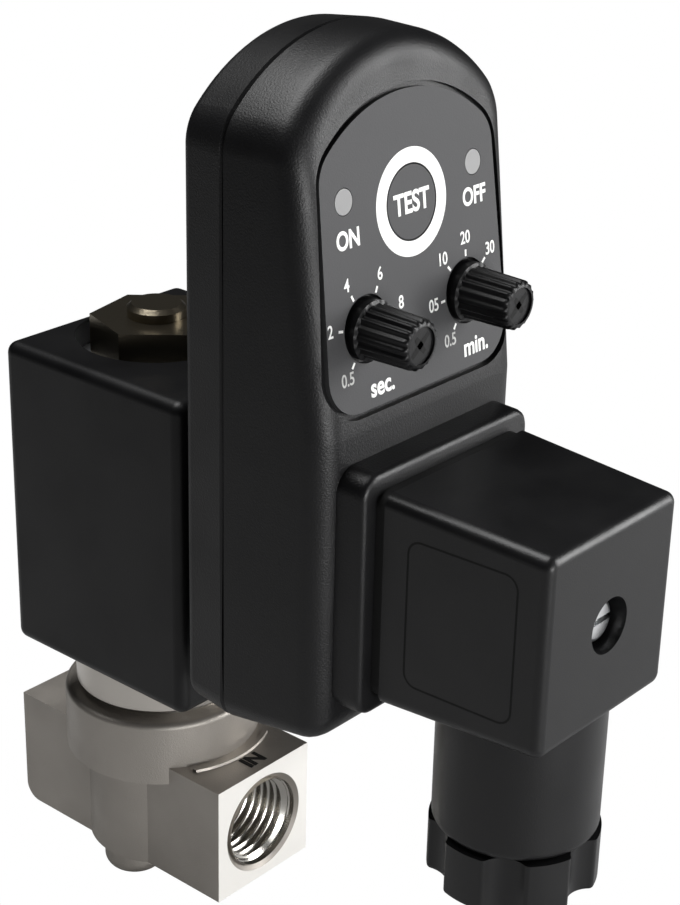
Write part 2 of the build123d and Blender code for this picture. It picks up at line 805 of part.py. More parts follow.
with BuildPart() as timer_socket:
    with BuildSketch(front_plane(case_inner_back)) as socket_section:
        with Locations((0, plug_centre_height)):
            RectangleRounded(socket_side, socket_side, 1.5)
            Circle(sleeve_radius + fit_clearance, mode=Mode.SUBTRACT)
        for point in blade_points:
            with Locations(point):
                Rectangle(
                    blade_thickness + 2 * fit_clearance,
                    blade_width + 2 * fit_clearance,
                    mode=Mode.SUBTRACT,
                )
    extrude(amount=board_standoff)
keep("timer_socket", timer_socket.part)

keep("timer_blades", blades(board_front, plug_back + blade_length - board_front))

# ---------------------------------------------------------------- cable plug
gland_plane = Plane(origin=(0, -gland_axis, 0))
gland_socket_bottom = gland_bottom


def plug_block(inset, depth):
    """The plug's tapering square body, or its hollow when it is inset by the wall."""
    with BuildSketch(front_plane(plug_back)) as square:
        with Locations((0, plug_centre_height)):
            Rectangle(plug_side - 2 * inset, plug_side - 2 * inset)
    with BuildPart() as block:
        extrude(square.sketch, amount=depth, taper=plug_draft)
    return block.part


plug_solid = plug_block(0, plug_depth)
plug_hollow = plug_block(plug_wall, plug_depth - plug_front_wall)

with BuildPart() as plug_housing:
    add(plug_solid)
    upright_edges = plug_housing.edges().filter_by(lambda e: abs(e.tangent_at(0.5).Y) > 0.9)
    fillet(upright_edges, plug_edge_round)
    fillet(plug_housing.faces().sort_by(Axis.Y)[0].edges(), plug_edge_round - 0.3)
    with BuildSketch(gland_plane.offset(gland_bottom)) as gland_socket:
        Circle(gland_radius)
    extrude(amount=gland_length + plug_wall)
    fillet(plug_housing.faces().sort_by(Axis.Z)[0].edges(), gland_end_round)
    add(plug_hollow, mode=Mode.SUBTRACT)
    with BuildSketch(gland_plane.offset(gland_bottom)) as gland_throat:
        Circle(gland_throat_radius)
    extrude(amount=gland_length + 2 * plug_wall, mode=Mode.SUBTRACT)
    with BuildSketch(gland_plane.offset(gland_bottom)) as gland_bore:
        Circle(gland_bore_radius)
    extrude(amount=gland_thread_length + gland_bore_height, mode=Mode.SUBTRACT)
    with BuildSketch(gland_plane.offset(gland_bottom)) as gland_thread:
        Circle(gland_thread_radius)
    extrude(amount=gland_thread_length, mode=Mode.SUBTRACT)
    with BuildSketch(front_plane(plug_front)) as screw_recess:
        with Locations((0, plug_centre_height)):
            Circle(screw_recess_radius)
    extrude(amount=-screw_recess_depth, mode=Mode.SUBTRACT)
    with BuildSketch(front_plane(plug_front)) as screw_hole:
        with Locations((0, plug_centre_height)):
            Circle(screw_tunnel_radius)
    extrude(amount=-plug_front_wall, mode=Mode.SUBTRACT)
keep("plug_housing", plug_housing.part)

insert_depth = plug_depth - plug_front_wall - insert_gap
with BuildPart() as plug_insert:
    with BuildSketch(front_plane(plug_back)) as insert_section:
        with Locations((0, plug_centre_height)):
            RectangleRounded(insert_side, insert_side, 1.0)
            Circle(screw_tunnel_radius, mode=Mode.SUBTRACT)
    extrude(amount=insert_depth)
    with BuildSketch(front_plane(plug_back)) as insert_slots:
        for point in blade_points:
            with Locations(point):
                Rectangle(blade_thickness + 2 * fit_clearance, blade_width + 2 * fit_clearance)
    extrude(amount=blade_length + fit_clearance, mode=Mode.SUBTRACT)
    with BuildSketch(front_plane(plug_back + insert_depth)) as clamp_pockets:
        for point in blade_points:
            with Locations(point):
                Circle(clamp_screw_radius)
    extrude(amount=-clamp_screw_length, mode=Mode.SUBTRACT)
keep("plug_insert", plug_insert.part)

with BuildPart() as clamp_screws:
    with BuildSketch(front_plane(plug_back + insert_depth)) as clamp_section:
        for point in blade_points:
            with Locations(point):
                Circle(clamp_screw_radius)
    extrude(amount=-clamp_screw_length)
    with BuildSketch(front_plane(plug_back + insert_depth)) as clamp_slots:
        for point in blade_points:
            with Locations(point):
                Rectangle(2 * clamp_screw_radius, 0.6)
    extrude(amount=-0.6, mode=Mode.SUBTRACT)
keep("clamp_screws", clamp_screws.part)

head_seat = plug_front - screw_recess_depth
with BuildPart() as plug_screw:
    with BuildSketch(front_plane(head_seat)) as head_section_sketch:
        with Locations((0, plug_centre_height)):
            Circle(screw_head_radius)
    extrude(amount=screw_head_height)
    fillet(plug_screw.faces().sort_by(Axis.Y)[0].edges(), 0.6)
    with BuildSketch(front_plane(head_seat + screw_head_height)) as head_slot:
        with Locations((0, plug_centre_height)):
            Rectangle(2 * screw_head_radius, screw_slot_width)
    extrude(amount=-screw_slot_depth, mode=Mode.SUBTRACT)
    with BuildSketch(front_plane(head_seat)) as shank_section:
        with Locations((0, plug_centre_height)):
            Circle(screw_radius)
    extrude(amount=-(head_seat - pad_face + screw_grip))
keep("plug_screw", plug_screw.part)

gland_nut_top = gland_bottom - gland_nut_gap
gland_nut_bottom = gland_nut_top - gland_nut_height
nut_spigot_top = gland_nut_top + gland_thread_length - gland_nut_gap
with BuildPart() as gland_nut:
    with BuildSketch(gland_plane.offset(gland_nut_bottom)) as lobes:
        Circle(gland_nut_radius)
        with PolarLocations(
            gland_nut_radius - gland_scallop_bite + gland_scallop_radius,
            gland_nut_lobes,
            start_angle=30,
        ):
            Circle(gland_scallop_radius, mode=Mode.SUBTRACT)
        fillet(lobes.vertices(), 0.7)
    extrude(amount=gland_nut_height)
    fillet(gland_nut.faces().sort_by(Axis.Z)[0].edges(), 0.6)
    with BuildSketch(gland_plane.offset(gland_nut_top)) as nut_spigot:
        Circle(gland_thread_radius - fit_clearance)
    extrude(amount=nut_spigot_top - gland_nut_top)
    with BuildSketch(gland_plane.offset(gland_nut_bottom)) as cable_hole:
        Circle(cable_hole_radius)
    extrude(amount=nut_spigot_top - gland_nut_bottom, mode=Mode.SUBTRACT)
keep("gland_nut", gland_nut.part)

with BuildPart() as gland_washer:
    with BuildSketch(gland_plane.offset(nut_spigot_top)) as gland_washer_section:
        Circle(gland_bore_radius - fit_clearance)
        Circle(cable_hole_radius, mode=Mode.SUBTRACT)
    extrude(amount=gland_washer_thickness)
keep("gland_washer", gland_washer.part)

grommet_bottom = nut_spigot_top + gland_washer_thickness
grommet_top = gland_bottom + gland_thread_length + gland_bore_height
with BuildPart() as gland_grommet:
    with BuildSketch(gland_plane.offset(grommet_bottom)) as grommet_section:
        Circle(gland_bore_radius - fit_clearance)
        Circle(cable_hole_radius, mode=Mode.SUBTRACT)
    extrude(amount=grommet_top - grommet_bottom)
keep("gland_grommet", gland_grommet.part)

os.makedirs("parts", exist_ok=True)
for name, part in parts.items():
    export_step(part, f"parts/{name}.step")
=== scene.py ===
import bmesh
import bpy
import json
import math
from mathutils import Matrix, Vector


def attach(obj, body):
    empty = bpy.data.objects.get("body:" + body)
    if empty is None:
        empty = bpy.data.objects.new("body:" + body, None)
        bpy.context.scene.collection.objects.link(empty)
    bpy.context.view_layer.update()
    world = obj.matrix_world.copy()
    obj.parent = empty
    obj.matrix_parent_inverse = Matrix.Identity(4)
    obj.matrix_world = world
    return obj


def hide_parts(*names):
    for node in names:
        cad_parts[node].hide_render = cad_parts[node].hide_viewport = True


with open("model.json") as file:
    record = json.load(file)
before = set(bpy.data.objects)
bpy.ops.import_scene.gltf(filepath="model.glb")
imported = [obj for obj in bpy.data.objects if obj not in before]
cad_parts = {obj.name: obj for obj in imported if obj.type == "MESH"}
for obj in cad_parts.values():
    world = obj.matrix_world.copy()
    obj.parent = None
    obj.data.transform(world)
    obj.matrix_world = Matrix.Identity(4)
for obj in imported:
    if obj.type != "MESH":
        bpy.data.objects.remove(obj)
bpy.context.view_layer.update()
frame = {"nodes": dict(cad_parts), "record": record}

# ------------------------------------------------------------------ sizes
# Lengths are in millimetres in the row frame. MM turns them into metres.
MM = 0.001
QUARTER = math.pi / 2

# valve body
TUBE_Y = 19.35
INLET_FACE = -0.9
OUTLET_FACE = 39.6
BLOCK_TOP = 9.0
RIB_RADIUS = 15.6

# timer case: the front rises straight from the seam to the crease, then leans back
SEAM = -12.35
FRONT_DEPTH = 14.6
CREASE = 72.0
SLOPE_ANGLE = math.radians(7.25)
CASE_HALF_WIDTH = 20.4
CASE_FOOT = 30.0
CASE_MIDDLE = 60
CASE_CROWN = 116.3
CROWN_RADIUS = 26.0
FOOT_CORNER = 4.0
SHOULDER = 7.0

# printed panel, sunk a little below the sloping face
PANEL_FACE = -0.2
POCKET_FLOOR = -0.9
POCKET_GAP = 0.5
PATCH_LIFT = 0.015
WORD_LIFT = 0.02
TEST_Z = 96.6

# dials
DIAL_X = 9.4
DIAL_Z = 83.7
KNOB_BASE = -24.16
KNOB_LENGTH = 8.95

# cable plug
PLUG_Z = 52.2
PLUG_BACK = -32.45
PLUG_HALF_WIDTH = 14.0
PLUG_TAPER = math.tan(math.radians(2.6))

# ------------------------------------------------------------------ materials


def plain(name, color, rough, metallic=0.0, spec=0.5):
    """A principled material with its even values on the sockets."""
    m = bpy.data.materials.new(name)
    m.use_nodes = True
    b = m.node_tree.nodes["Principled BSDF"]
    b.inputs["Base Color"].default_value = (*color, 1)
    b.inputs["Roughness"].default_value = rough
    b.inputs["Metallic"].default_value = metallic
    b.inputs["Specular IOR Level"].default_value = spec
    return m


def grain(m, scale, strength, distance, detail=3.0, rough_range=None):
    """Adds a fine procedural grain as bump, and a slow change of roughness if a range is given."""
    nt = m.node_tree
    b = nt.nodes["Principled BSDF"]
    place = nt.nodes.new("ShaderNodeTexCoord")
    fine = nt.nodes.new("ShaderNodeTexNoise")
    fine.inputs["Scale"].default_value = scale
    fine.inputs["Detail"].default_value = detail
    bump = nt.nodes.new("ShaderNodeBump")
    bump.inputs["Strength"].default_value = strength
    bump.inputs["Distance"].default_value = distance
    nt.links.new(place.outputs["Object"], fine.inputs["Vector"])
    nt.links.new(fine.outputs["Fac"], bump.inputs["Height"])
    nt.links.new(bump.outputs["Normal"], b.inputs["Normal"])
    if rough_range:
        slow = nt.nodes.new("ShaderNodeTexNoise")
        slow.inputs["Scale"].default_value = scale / 40
        spread = nt.nodes.new("ShaderNodeMapRange")
        spread.inputs["From Min"].default_value = 0.3
        spread.inputs["From Max"].default_value = 0.7
        spread.inputs["To Min"].default_value = rough_range[0]
        spread.inputs["To Max"].default_value = rough_range[1]
        nt.links.new(place.outputs["Object"], slow.inputs["Vector"])
        nt.links.new(slow.outputs["Fac"], spread.inputs["Value"])
        nt.links.new(spread.outputs["Result"], b.inputs["Roughness"])
    return m


MAT = {
    "cast_body": grain(
        plain("cast nickel", (0.36, 0.335, 0.305), 0.5, metallic=0.8),
        scale=5200, strength=0.35, distance=0.00012, detail=4, rough_range=(0.42, 0.56)),
    "bright_face": grain(
        plain("machined face", (0.88, 0.86, 0.82), 0.40, metallic=0.4),
        scale=6000, strength=0.08, distance=0.00005),
    "thread": plain("cut thread", (0.62, 0.60, 0.56), 0.2, metallic=1.0),
    "steel": grain(
        plain("turned steel", (0.55, 0.52, 0.48), 0.3, metallic=1.0),
        scale=4000, strength=0.1, distance=0.00005),
    "zinc_steel": grain(
        plain("zinc", (0.78, 0.79, 0.80), 0.28, metallic=1.0),
        scale=3000, strength=0.15, distance=0.00005),
    "passivated_nut": grain(
        plain("passivated", (0.20, 0.175, 0.13), 0.3, metallic=1.0),
        scale=2600, strength=0.25, distance=0.0001),
    "black_resin": grain(
        plain("coil resin", (0.0035, 0.0035, 0.004), 0.38, spec=0.28),
        scale=3800, strength=0.2, distance=0.00008, detail=3, rough_range=(0.34, 0.46)),
    "plug_resin": grain(
        plain("plug resin", (0.0055, 0.0055, 0.006), 0.36, spec=0.34),
        scale=5200, strength=0.22, distance=0.00007, detail=3, rough_range=(0.33, 0.42)),
    "case_plastic": grain(
        plain("case plastic", (0.004, 0.004, 0.0045), 0.40, spec=0.32),
        scale=4200, strength=0.42, distance=0.0001, detail=4, rough_range=(0.36, 0.46)),
    "panel_film": grain(
        plain("panel film", (0.058, 0.058, 0.060), 0.6, spec=0.25),
        scale=4800, strength=0.25, distance=0.00006),
    # painted shade: a dark flat colour that stands for the shade inside grooves, slots and letters
    "painted_recess_shade": plain("painted_recess_shade", (0.004, 0.004, 0.004), 0.6, spec=0.2),
    "rubber": plain("rubber", (0.012, 0.012, 0.012), 0.6, spec=0.3),
    "seal_red": plain("seal", (0.10, 0.025, 0.018), 0.5),
    "copper_wire": plain("winding", (0.55, 0.25, 0.10), 0.35, metallic=0.9),
    "contact_brass": plain("contacts", (0.75, 0.66, 0.42), 0.3, metallic=1.0),
    "bobbin_nylon": plain("bobbin", (0.12, 0.12, 0.12), 0.5),
    "board_green": plain("board", (0.03, 0.14, 0.06), 0.4),
    "component_black": plain("component", (0.02, 0.02, 0.025), 0.35),
    "lamp_lens": plain("lens", (0.20, 0.20, 0.20), 0.4, spec=0.4),
    "nylon_natural": plain("nylon", (0.75, 0.74, 0.68), 0.45),
    "print_white": plain("print", (0.82, 0.82, 0.80), 0.5),
    "print_grey": plain("dial print", (0.42, 0.42, 0.41), 0.55),
}

# nodes whose look is not that of their material slot
look_of_node = {"plug_housing": "plug_resin", "gland_nut": "plug_resin", "fixed_core": "passivated_nut"}
for part in frame["record"]["subparts"]:
    node = frame["nodes"][part["node"]]
    node.data.materials.clear()
    name = look_of_node.get(part["node"], part["material_slot"])
    node.data.materials.append(MAT[name])

# ------------------------------------------------------------------ outlines


def arc(cx, cy, radius, start, end, steps, first=0):
    """Points along an arc, with angles in radians; first=1 leaves out the starting point."""
    points = []
    for k in range(first, steps + 1):
        a = start + (end - start) * k / steps
        points.append((cx + radius * math.cos(a), cy + radius * math.sin(a)))
    return points


def rounded_rectangle(half_width, half_height, radius, inset=0.0, steps=8):
    """Points round a rectangle with round corners, whose arcs are drawn in by the inset."""
    points = []
    for quarter, (sx, sy) in enumerate(((1, -1), (1, 1), (-1, 1), (-1, -1))):
        start = (quarter - 1) * QUARTER
        cx, cy = sx * (half_width - radius), sy * (half_height - radius)
        points += arc(cx, cy, radius - inset, start, start + QUARTER, steps)
    return points


# ------------------------------------------------------------------ making pieces


def finish_piece(obj, mat, body):
    obj.data.materials.append(MAT[mat])
    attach(obj, body)
    return obj


def add_mesh(name, verts, faces):
    """A mesh object from points in millimetres."""
    me = bpy.data.meshes.new(name)
    me.from_pydata([tuple(c * MM for c in v) for v in verts], [], faces)
    me.update()
    obj = bpy.data.objects.new(name, me)
    bpy.context.scene.collection.objects.link(obj)
    return obj


def smooth(mesh, angle):
    """Smooth shading with sharp edges above an angle in degrees."""
    mesh.shade_smooth()
    mesh.set_sharp_from_angle(angle=math.radians(angle))


def mesh_piece(name, verts, faces, mat, body, angle=None):
    """A finished piece from points in millimetres, flat unless a smoothing angle is given."""
    obj = add_mesh(name, verts, faces)
    if angle:
        smooth(obj.data, angle)
    return finish_piece(obj, mat, body)


def closed_mesh(name, verts, faces):
    """A mesh with its doubled points welded and its normals outwards."""
    obj = add_mesh(name, verts, faces)
    bm = bmesh.new()
    bm.from_mesh(obj.data)
    bmesh.ops.remove_doubles(bm, verts=bm.verts, dist=1e-6)
    bmesh.ops.recalc_face_normals(bm, faces=bm.faces)
    bm.to_mesh(obj.data)
    bm.free()
    return obj


def bands(rows, around):
    """Quads that join rows of points, where each row closes on itself."""
    faces = []
    for k in range(rows - 1):
        for i in range(around):
            j = (i + 1) % around
            faces.append((k * around + i, k * around + j, (k + 1) * around + j, (k + 1) * around + i))
    return faces


def text_piece(name, text, size, bold, thickness, matrix, mat, body):
    """Text as a thin solid, centred on its matrix."""
    cu = bpy.data.curves.new(name, "FONT")
    cu.body = text
    cu.size = size * MM
    cu.align_x = "CENTER"
    cu.align_y = "CENTER"
    cu.offset = bold * MM
    cu.extrude = thickness * MM
    obj = bpy.data.objects.new(name, cu)
    bpy.context.scene.collection.objects.link(obj)
    obj.matrix_world = matrix
    return finish_piece(obj, mat, body)


# ------------------------------------------------------------------ the sloping face
# Slope coordinates: x across, v up the slope from the crease, and out of it.
SLOPE = Matrix.Rotation(QUARTER - SLOPE_ANGLE, 4, "X")
SLOPE_ORIGIN = Vector((0, SEAM - FRONT_DEPTH, CREASE))


def up_slope(z):
    return (z - CREASE) / math.cos(SLOPE_ANGLE)


def on_slope(x, v, out):
    """A point on the sloping face, in millimetres."""
    return SLOPE_ORIGIN + SLOPE.to_3x3() @ Vector((x, v, out))


def front_depth(z):
    """How far the case's front stands out from the seam at a height."""
    return FRONT_DEPTH - max(0.0, z - CREASE) * math.tan(SLOPE_ANGLE)


# ------------------------------------------------------------------ timer front


def case_outline():
    """Right half of the case's outline at the seam, from the foot's middle to the crown, in (x, z)."""
    points = [(CASE_HALF_WIDTH * k / 10, CASE_FOOT) for k in range(8)]
    points += arc(CASE_HALF_WIDTH - FOOT_CORNER, CASE_FOOT + FOOT_CORNER, FOOT_CORNER, -QUARTER, 0, 12)
    heights = (38, 46, 54, 62, 68, CREASE - 0.1, CREASE + 0.1, 76, 82, 88, 94, 97)
    points += [(CASE_HALF_WIDTH, z) for z in heights]
    # the shoulder's arc touches the straight side and the crown's arc
    crown_z = CASE_CROWN - CROWN_RADIUS
    shoulder_x = CASE_HALF_WIDTH - SHOULDER
    shoulder_z = crown_z + math.sqrt((CROWN_RADIUS - SHOULDER) ** 2 - shoulder_x**2)
    meet = math.atan2(shoulder_z - crown_z, shoulder_x)
    points += arc(shoulder_x, shoulder_z, SHOULDER, 0, meet, 14)
    points += arc(0, crown_z, CROWN_RADIUS, meet, QUARTER, 24, first=1)
    return points


def case_front():
    """The case's front half as one closed skin: drafted sides, a rounded rim and a leaning upper face."""
    outline = case_outline()
    rim, seam_break = 3.4, 0.35
    side_draft = math.tan(math.radians(6.5))
    foot_draft = side_draft * 0.9
    crown_draft = math.tan(math.radians(1.6))
    verts = []
    rings = []

    def ring(depth_at, inset):
        row = []
        for x, z in outline:
            upper = z > CASE_MIDDLE
            depth = depth_at(z)
            across = (inset + depth * side_draft) * min(1.0, x / CASE_HALF_WIDTH)
            # the straight sides only draw in across; towards the crown and the foot they also do so in height
            centre, straight, blend = (85, 12, 19) if upper else (36, 1, 5)
            share = max(0.0, min(1.0, (abs(z - centre) - straight) / blend))
            inward = (inset + depth * (crown_draft if upper else foot_draft)) * share
            row.append(len(verts))
            verts.append((x - across, SEAM - depth, z - inward if upper else z + inward))
        rings.append(row)

    ring(lambda z: 0.0, seam_break)
    ring(lambda z: seam_break, 0.0)
    for k in range(1, 4):
        ring(lambda z: seam_break + (front_depth(z) - rim - seam_break) * k / 3, 0.0)
    for k in range(1, 9):
        a = QUARTER * k / 8
        ring(lambda z: front_depth(z) - rim + rim * math.sin(a), rim * (1 - math.cos(a)))

    # the left half mirrors the right one, and flat rows of quads close the back and the front
    mirror = len(verts)
    verts += [(-x, y, z) for x, y, z in verts]
    steps = range(len(outline) - 1)
    faces = []
    for r0, r1 in zip(rings, rings[1:]):
        for i in steps:
            faces.append((r0[i], r0[i + 1], r1[i + 1], r1[i]))
            faces.append((mirror + r0[i + 1], mirror + r0[i], mirror + r1[i], mirror + r1[i + 1]))
    faces += [(f[i], f[i + 1], mirror + f[i + 1], mirror + f[i]) for f in (rings[-1],) for i in steps]
    faces += [(b[i], b[i + 1], mirror + b[i + 1], mirror + b[i])[::-1] for b in (rings[0],) for i in steps]
    return verts, faces


def prism(name, outline, low, high):
    """A prism that stands on the sloping face, from an outline in slope coordinates."""
    n = len(outline)
    verts = [tuple(on_slope(x, v, out)) for out in (low, high) for x, v in outline]
    faces = [tuple(range(n))[::-1], tuple(range(n, 2 * n))]
    faces += [(i, (i + 1) % n, n + (i + 1) % n, n + i) for i in range(n)]
    return closed_mesh(name, verts, faces)


def panel_outline(grow):
    """Outline of the panel in slope coordinates, with round corners and an arched top."""
    foot_half, top_half, foot, shoulder, apex, corner = 17.0, 15.9, 2.0, 31.4, 38.2, 5.2
    top_radius = (top_half**2 + (apex - shoulder) ** 2) / (2 * (apex - shoulder))
    top_v = apex - top_radius
    corner_x = top_half - corner
    corner_v = top_v + math.sqrt((top_radius - corner) ** 2 - corner_x**2)
    meet = math.atan2(corner_v - top_v, corner_x)
    points = arc(foot_half - corner, foot + corner, corner + grow, -QUARTER, 0, 9)
    points += arc(corner_x, corner_v, corner + grow, 0, meet, 11)
    points += arc(0, top_v, top_radius + grow, meet, QUARTER, 19, first=1)
    return points + [(-x, v) for x, v in reversed(points[:-1])]


def timer_front():
    """The timer's front with its leaning face and the panel's pocket, in place of the plain shell."""
    skin = closed_mesh("timer_front", *case_front())
    pocket = prism("pocket", panel_outline(POCKET_GAP), POCKET_FLOOR, 6.0)
    cut = skin.modifiers.new("pocket", "BOOLEAN")
    cut.operation = "DIFFERENCE"
    cut.object = pocket
    cut.solver = "EXACT"
    bpy.context.view_layer.update()
    carved = bpy.data.meshes.new_from_object(skin.evaluated_get(bpy.context.evaluated_depsgraph_get()))
    skin.modifiers.clear()
    skin.data = carved
    bpy.data.objects.remove(pocket)
    carved.materials.clear()
    smooth(carved, 32)
    finish_piece(skin, "case_plastic", "coil_and_timer")
    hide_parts("front_shell")


def plug_pad():
    """The raised square pad on the case that the cable plug sits against."""
    steps = ((24.9, 0.0), (30.1, 0.15), (30.6, 0.3), (30.85, 0.6), (30.95, 1.0))
    rows = [[(x, -depth, PLUG_Z + z) for x, z in rounded_rectangle(16.2, 16.2, 3.0, inset)]
            for depth, inset in steps]
    around = len(rows[0])
    verts = [point for row in rows for point in row]
    faces = bands(len(rows), around)
    faces += [tuple(range(around))[::-1], tuple(range(len(verts) - around, len(verts)))]
    pad = closed_mesh("plug_pad", verts, faces)
    smooth(pad.data, 40)
    finish_piece(pad, "case_plastic", "coil_and_timer")


timer_front()
plug_pad()

# ------------------------------------------------------------------ printed panel


def printed(name, text, x, z, size, bold, squeeze=0.86, mat="print_white", body="coil_and_timer"):
    """A word printed on the panel."""
    at = on_slope(x, up_slope(z), PANEL_FACE + WORD_LIFT) * MM
    matrix = Matrix.Translation(at) @ SLOPE @ Matrix.Diagonal((squeeze, 1, 1, 1))
    return text_piece(name, text, size, bold, 0.01, matrix, mat, body)


def printed_patch(name, quads):
    """A flat printed shape on the panel, from quads in slope coordinates."""
    verts = [tuple(on_slope(x, v, PANEL_FACE + PATCH_LIFT)) for quad in quads for x, v in quad]
    faces = [tuple(range(4 * k, 4 * k + 4)) for k in range(len(quads))]
    return mesh_piece(name, verts, faces, "print_white", "coil_and_timer")


def ring_quads(cv, inner, outer, steps=72):
    """Quads of a flat ring that is centred across the panel."""
    inside = arc(0, cv, inner, 0, 4 * QUARTER, steps)
    outside = arc(0, cv, outer, 0, 4 * QUARTER, steps)
    return [(inside[i], outside[i], outside[i + 1], inside[i + 1]) for i in range(steps)]


def dial(side, cx, labels):
    """Figures round a knob, clockwise from its lower left, each with a short tick."""
    figure_radius, tick_start, tick_end, half_width = 6.5, 4.3, 5.1, 0.16
    cv = up_slope(DIAL_Z)
    ticks = []
    for k, (text, degrees) in enumerate(labels):
        c, s = math.cos(math.radians(degrees)), math.sin(math.radians(degrees))
        mat = "print_grey" if k == 0 else "print_white"
        printed(f"{side}_{k}", text, cx + figure_radius * c, DIAL_Z + figure_radius * s, 2.2, 0.03, mat=mat)
        ticks.append([
            (cx + t * c - w * s, cv + t * s + w * c)
            for t, w in ((tick_start, half_width), (tick_start, -half_width),
                         (tick_end, -half_width), (tick_end, half_width))
        ])
    printed_patch(f"{side}_ticks", ticks)


printed_patch("test_ring", ring_quads(up_slope(TEST_Z), 4.62, 6.45))
printed("test_word", "TEST", 0, 96.5, 3.5, 0.1, body="test_button")
printed("on_word", "ON", -11.6, 94.6, 3.0, 0.09)
printed("off_word", "OFF", 11.8, 94.9, 3.0, 0.09)
printed("sec_word", "sec.", -7.4, 76.4, 3.2, 0.08, squeeze=0.9)
printed("min_word", "min.", 10.6, 76.6, 3.2, 0.08, squeeze=0.9)
dial("sec", -DIAL_X, [("0.5", 232), ("2", 170), ("4", 118), ("6", 64), ("8", 14), ("10", -38)])
dial("min", DIAL_X, [("0.5", 235), ("05", 183), ("10", 132), ("20", 88), ("30", 40), ("45", -10)])

# ------------------------------------------------------------------ fluted knobs


def lathe(profile, segments, flutes, flute_depth):
    """A turned skin round +Z from (radius, height, fluted) rings."""
    verts = []
    for radius, height, fluted in profile:
        for i in range(segments):
            a = 2 * math.pi * i / segments
            r = radius + (flute_depth * math.cos(flutes * a) if fluted else 0)
            verts.append((r * math.cos(a), r * math.sin(a), height))
    return verts, bands(len(profile), segments)


def knob(side, cx):
    """A knob with a plain collar and a fluted barrel, and a cross with two long arms on its end, drawn as a flat
    dark sheet of painted shade.
    """
    body = f"{side}_time_knob"
    profile = (
        (0.0, 0, False), (3.5, 0, False), (3.68, 0.2, False), (3.68, 2.1, False),
        (3.2, 2.25, True), (3.12, 2.6, True), (2.98, 8.6, True), (2.9, KNOB_LENGTH, True),
        (2.65, 9.2, False), (2.3, 9.25, False), (2.3, KNOB_LENGTH, False), (0.0, KNOB_LENGTH, False),
    )
    verts, faces = lathe(profile, 144, flutes=18, flute_depth=0.16)
    verts = [(cx + x, KNOB_BASE - z, DIAL_Z + y) for x, y, z in verts]
    piece = mesh_piece(f"{body}_skin", verts, faces, "black_resin", body, angle=50)
    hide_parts(body)

    end_y = KNOB_BASE - KNOB_LENGTH - 0.02
    root, tip = 0.45, 0.3
    verts = []
    for degrees, reach in ((40, 1.9), (130, 1.3), (220, 1.9), (310, 1.3)):
        c, s = math.cos(math.radians(degrees)), math.sin(math.radians(degrees))
        arm = ((-root * s, root * c), (root * s, -root * c),
               (reach * c + tip * s, reach * s - tip * c), (reach * c - tip * s, reach * s + tip * c))
        verts += [(cx + x, end_y, DIAL_Z + z) for x, z in arm]
    faces = [tuple(range(4 * k, 4 * k + 4)) for k in range(4)]
    # the cross is a flat sheet coloured with painted shade, not a cut recess
    mesh_piece(f"{body}_cross", verts, faces, "painted_recess_shade", body)


# the frame calls the left dial, printed sec., off_time, and the right one, printed min., on_time
knob("off", -DIAL_X)
knob("on", DIAL_X)

# ------------------------------------------------------------------ valve body


def thread(name, mouth, inward):
    """The helical wall of a port's thread, from just inside the mouth to the hole's end."""
    pitch, length = 1.337, 10.6
    major, minor = 6.56, 5.75
    start, lead_in = 0.15, 1.4
    flat = 0.12
    along, around = 192, 72
    verts = []
    for k in range(along + 1):
        d = start + length * k / along
        for i in range(around):
            a = 2 * math.pi * i / around
            phase = (d / pitch - i / around) % 1.0
            rise = (abs(2 * phase - 1) - flat) / (1 - 2 * flat)
            r = minor + (major - minor) * min(1.0, max(0.0, rise))
            if d < lead_in:
                r = max(r, min(major, major + 0.9 - d))
            verts.append((r * math.cos(a), mouth + inward * d, r * math.sin(a)))
    return mesh_piece(name, verts, bands(along + 1, around), "thread", "valve", angle=80)


def brighten_end_faces():
    """Gives the two machined end faces of the valve body their own look."""
    node = frame["nodes"]["valve_body"]
    node.data.materials.append(MAT["bright_face"])
    to_row = node.matrix_world
    for poly in node.data.polygons:
        facing = (to_row.to_3x3() @ poly.normal).normalized().y
        y = (to_row @ poly.center).y
        off_face = min(abs(y - INLET_FACE * MM), abs(y - OUTLET_FACE * MM))
        if abs(facing) > 0.95 and off_face < 0.3 * MM:
            poly.material_index = 1


def inlet_rib():
    """The raised rib that runs round the bonnet on top of the inlet block."""
    path = arc(0, TUBE_Y, RIB_RADIUS, math.radians(-118), math.radians(-62), 12)
    foot_z, top_z = BLOCK_TOP - 0.1, BLOCK_TOP + 0.35
    verts = []
    for x, y in path:
        verts += [(x, y - 0.45, foot_z), (x, y - 0.3, top_z), (x, y + 0.3, top_z), (x, y + 0.45, foot_z)]
    faces = []
    for k in range(len(path) - 1):
        faces += [(4 * k + i, 4 * k + i + 1, 4 * k + 5 + i, 4 * k + 4 + i) for i in range(3)]
    faces += [(0, 1, 2, 3), tuple(range(len(verts) - 4, len(verts)))[::-1]]
    mesh_piece("inlet_rib", verts, faces, "cast_body", "valve", angle=25)


thread("inlet_thread", INLET_FACE, 1)
thread("outlet_thread", OUTLET_FACE, -1)
brighten_end_faces()
# the IN letters are coloured with painted shade, standing for the shade in the cast letters
mark_at = Matrix.Translation((0.5 * MM, 1.6 * MM, (BLOCK_TOP + 0.02) * MM))
text_piece("inlet_mark", "IN", 3.4, 0.12, 0.06, mark_at, "painted_recess_shade", "valve")
inlet_rib()

# ------------------------------------------------------------------ cable plug


